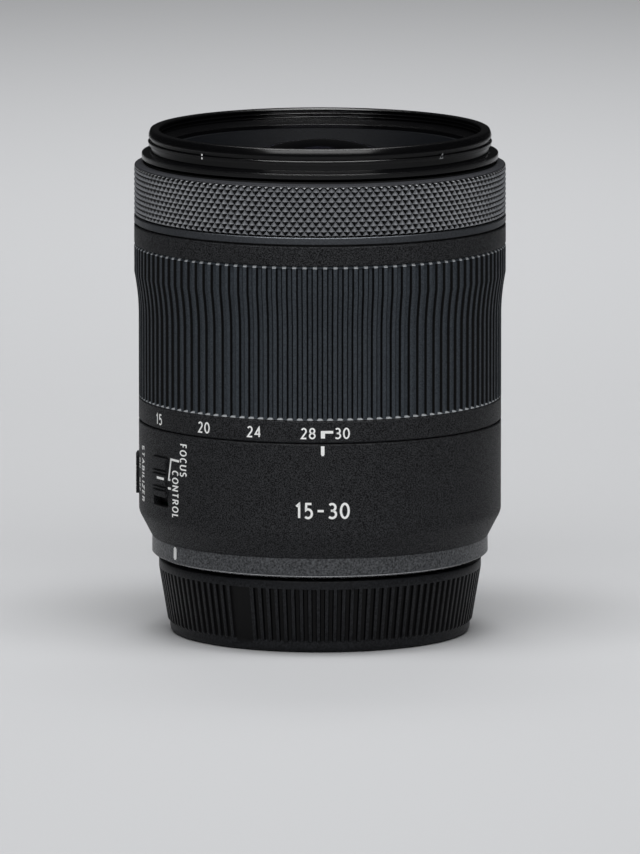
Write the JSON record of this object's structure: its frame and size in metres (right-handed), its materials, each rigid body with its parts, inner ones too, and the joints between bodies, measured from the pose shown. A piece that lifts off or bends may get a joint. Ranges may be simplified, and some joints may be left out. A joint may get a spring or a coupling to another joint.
{
  "type": "camera zoom lens",
  "caption": "Wide-angle camera zoom lens with a ribbed zoom ring, a knurled control ring, a filter thread, a bayonet mount under its cap, and a working iris, zoom and focus drive.",
  "frame": {"origin": "centre of the rear cap's underside, where the lens stands", "axes": "+Z along the optical axis towards the front element, -Y to the zoom index, -X to the switches"},
  "size_m": [0.0766, 0.0766, 0.1044],
  "materials": {
    "black_plastic": "fine-grained moulded black",
    "grip_rubber": "ribbed dark grey rubber",
    "knurl_plastic": "semi-gloss knurl",
    "trim_metal": "satin dark metallic",
    "ring_grey": "satin grey paint",
    "rim_plastic": "glossy black rim",
    "name_plastic": "fine-turned matte black",
    "mount_metal": "plated metal",
    "lens_glass": "coated glass",
    "inner_plastic": "matte black inner plastic",
    "circuit_board": "green solder mask",
    "cam_aluminium": "anodised",
    "gold_contact": "gold plated",
    "brass_parts": "turned",
    "steel_parts": "ground steel",
    "copper_wire": "wound enamelled wire",
    "blade_metal": "matte black sheet"
  },
  "bodies": {
    "barrel": {"outer_barrel": "black_plastic", "mount_ring": "ring_grey", "bayonet_mount": "mount_metal", "mount_screws": "mount_metal", "contact_block": "inner_plastic", "contact_pins": "gold_contact", "rear_frame": "inner_plastic", "main_board": "circuit_board", "rear_cell": "inner_plastic", "rear_element": "lens_glass", "guide_barrel": "inner_plastic", "retaining_ring": "inner_plastic", "slide_washer": "inner_plastic", "switch_board": "circuit_board", "control_sensor": "inner_plastic", "guide_rods": "steel_parts", "focus_motor": "steel_parts"},
    "zoom_unit": {"zoom_ring": "black_plastic", "zoom_grip": "grip_rubber", "cam_barrel": "cam_aluminium", "drive_key": "cam_aluminium"},
    "front_unit": {"filter_ring": "rim_plastic", "front_barrel": "black_plastic", "name_ring": "name_plastic", "front_element": "lens_glass", "second_element": "lens_glass", "third_element": "lens_glass", "front_cell": "inner_plastic", "front_followers": "brass_parts"},
    "control_unit": {"control_ring": "black_plastic", "knurled_band": "knurl_plastic", "trim_ring": "trim_metal"},
    "carriage_unit": {"carriage": "inner_plastic", "carriage_followers": "brass_parts", "carriage_element": "lens_glass", "iris_base": "inner_plastic", "iris_cover": "inner_plastic", "iris_motor": "steel_parts", "stabiliser_magnets": "steel_parts"},
    "iris_drive": {"iris_ring": "blade_metal"},
    "stabiliser_link": {"stabiliser_shaft": "steel_parts"},
    "stabiliser_stage": {"stabiliser_frame": "inner_plastic", "stabiliser_element": "lens_glass", "stabiliser_coils": "copper_wire"},
    "focus_unit": {"focus_frame": "inner_plastic", "focus_element": "lens_glass", "focus_nut": "brass_parts"},
    "focus_screw": {"lead_screw": "steel_parts"},
    "focus_slider": {"focus_switch": "black_plastic"},
    "stabiliser_slider": {"stabiliser_switch": "black_plastic"},
    "cap": {"rear_cap": "black_plastic"},
    "blade_1": {"iris_blade_1": "blade_metal"},
    "blade_2": {"iris_blade_2": "blade_metal"},
    "blade_3": {"iris_blade_3": "blade_metal"},
    "blade_4": {"iris_blade_4": "blade_metal"},
    "blade_5": {"iris_blade_5": "blade_metal"},
    "blade_6": {"iris_blade_6": "blade_metal"},
    "blade_7": {"iris_blade_7": "blade_metal"}
  },
  "joints": [
    {"name": "zoom_turn", "type": "hinge", "parent": "barrel", "child": "zoom_unit", "pos_m": [0, 0, 0.0644], "axis": [0, 0, 1], "range_deg": [0, 64]},
    {"name": "front_slide", "type": "slide", "parent": "barrel", "child": "front_unit", "axis": [0, 0, 1], "range_m": [0, 0.008]},
    {"name": "carriage_slide", "type": "slide", "parent": "barrel", "child": "carriage_unit", "axis": [0, 0, 1], "range_m": [-0.012, 0]},
    {"name": "control_turn", "type": "hinge", "parent": "barrel", "child": "control_unit", "pos_m": [0, 0, 0.0914], "axis": [0, 0, 1], "continuous": true},
    {"name": "focus_switch_slide", "type": "slide", "parent": "barrel", "child": "focus_slider", "axis": [0, 0, 1], "range_m": [-0.0019, 0]},
    {"name": "stabiliser_switch_slide", "type": "slide", "parent": "barrel", "child": "stabiliser_slider", "axis": [0, 0, 1], "range_m": [0, 0.0019]},
    {"name": "cap_twist", "type": "hinge", "parent": "barrel", "child": "cap", "pos_m": [0, 0, 0], "axis": [0, 0, -1], "range_deg": [0, 60]},
    {"name": "iris_turn", "type": "hinge", "parent": "carriage_unit", "child": "iris_drive", "pos_m": [0, 0, 0.0607], "axis": [0, 0, 1], "range_deg": [0, 6.4]},
    {"name": "stabiliser_x", "type": "slide", "parent": "carriage_unit", "child": "stabiliser_link", "axis": [1, 0, 0], "range_m": [-0.0008, 0.0008], "stiffness_N_per_m": 40},
    {"name": "stabiliser_y", "type": "slide", "parent": "stabiliser_link", "child": "stabiliser_stage", "axis": [0, 1, 0], "range_m": [-0.0008, 0.0008], "stiffness_N_per_m": 40},
    {"name": "focus_slide", "type": "slide", "parent": "barrel", "child": "focus_unit", "axis": [0, 0, 1], "range_m": [-0.0025, 0.0025]},
    {"name": "screw_turn", "type": "hinge", "parent": "barrel", "child": "focus_screw", "pos_m": [-0.0256, -0.00451, 0.0324], "axis": [0, 0, 1], "range_deg": [-900, 900]},
    {"name": "blade_1_turn", "type": "hinge", "parent": "carriage_unit", "child": "blade_1", "pos_m": [0.015, 0, 0.0594], "axis": [0, 0, 1], "range_deg": [0, 26]},
    {"name": "blade_2_turn", "type": "hinge", "parent": "carriage_unit", "child": "blade_2", "pos_m": [0.00935, 0.01173, 0.0594], "axis": [0, 0, 1], "range_deg": [0, 26]},
    {"name": "blade_3_turn", "type": "hinge", "parent": "carriage_unit", "child": "blade_3", "pos_m": [-0.00334, 0.01462, 0.0594], "axis": [0, 0, 1], "range_deg": [0, 26]},
    {"name": "blade_4_turn", "type": "hinge", "parent": "carriage_unit", "child": "blade_4", "pos_m": [-0.01351, 0.00651, 0.0594], "axis": [0, 0, 1], "range_deg": [0, 26]},
    {"name": "blade_5_turn", "type": "hinge", "parent": "carriage_unit", "child": "blade_5", "pos_m": [-0.01351, -0.00651, 0.0594], "axis": [0, 0, 1], "range_deg": [0, 26]},
    {"name": "blade_6_turn", "type": "hinge", "parent": "carriage_unit", "child": "blade_6", "pos_m": [-0.00334, -0.01462, 0.0594], "axis": [0, 0, 1], "range_deg": [0, 26]},
    {"name": "blade_7_turn", "type": "hinge", "parent": "carriage_unit", "child": "blade_7", "pos_m": [0.00935, -0.01173, 0.0594], "axis": [0, 0, 1], "range_deg": [0, 26]}
  ],
  "couplings": [
    {"joint": "front_slide", "follows": "zoom_turn", "m_per_rad": 0.00716},
    {"joint": "carriage_slide", "follows": "zoom_turn", "m_per_rad": -0.01074},
    {"joint": "screw_turn", "follows": "focus_slide", "rad_per_m": 6283},
    {"joint": "blade_1_turn", "follows": "iris_turn", "ratio": 4.053},
    {"joint": "blade_2_turn", "follows": "iris_turn", "ratio": 4.053},
    {"joint": "blade_3_turn", "follows": "iris_turn", "ratio": 4.053},
    {"joint": "blade_4_turn", "follows": "iris_turn", "ratio": 4.053},
    {"joint": "blade_5_turn", "follows": "iris_turn", "ratio": 4.053},
    {"joint": "blade_6_turn", "follows": "iris_turn", "ratio": 4.053},
    {"joint": "blade_7_turn", "follows": "iris_turn", "ratio": 4.053}
  ]
}
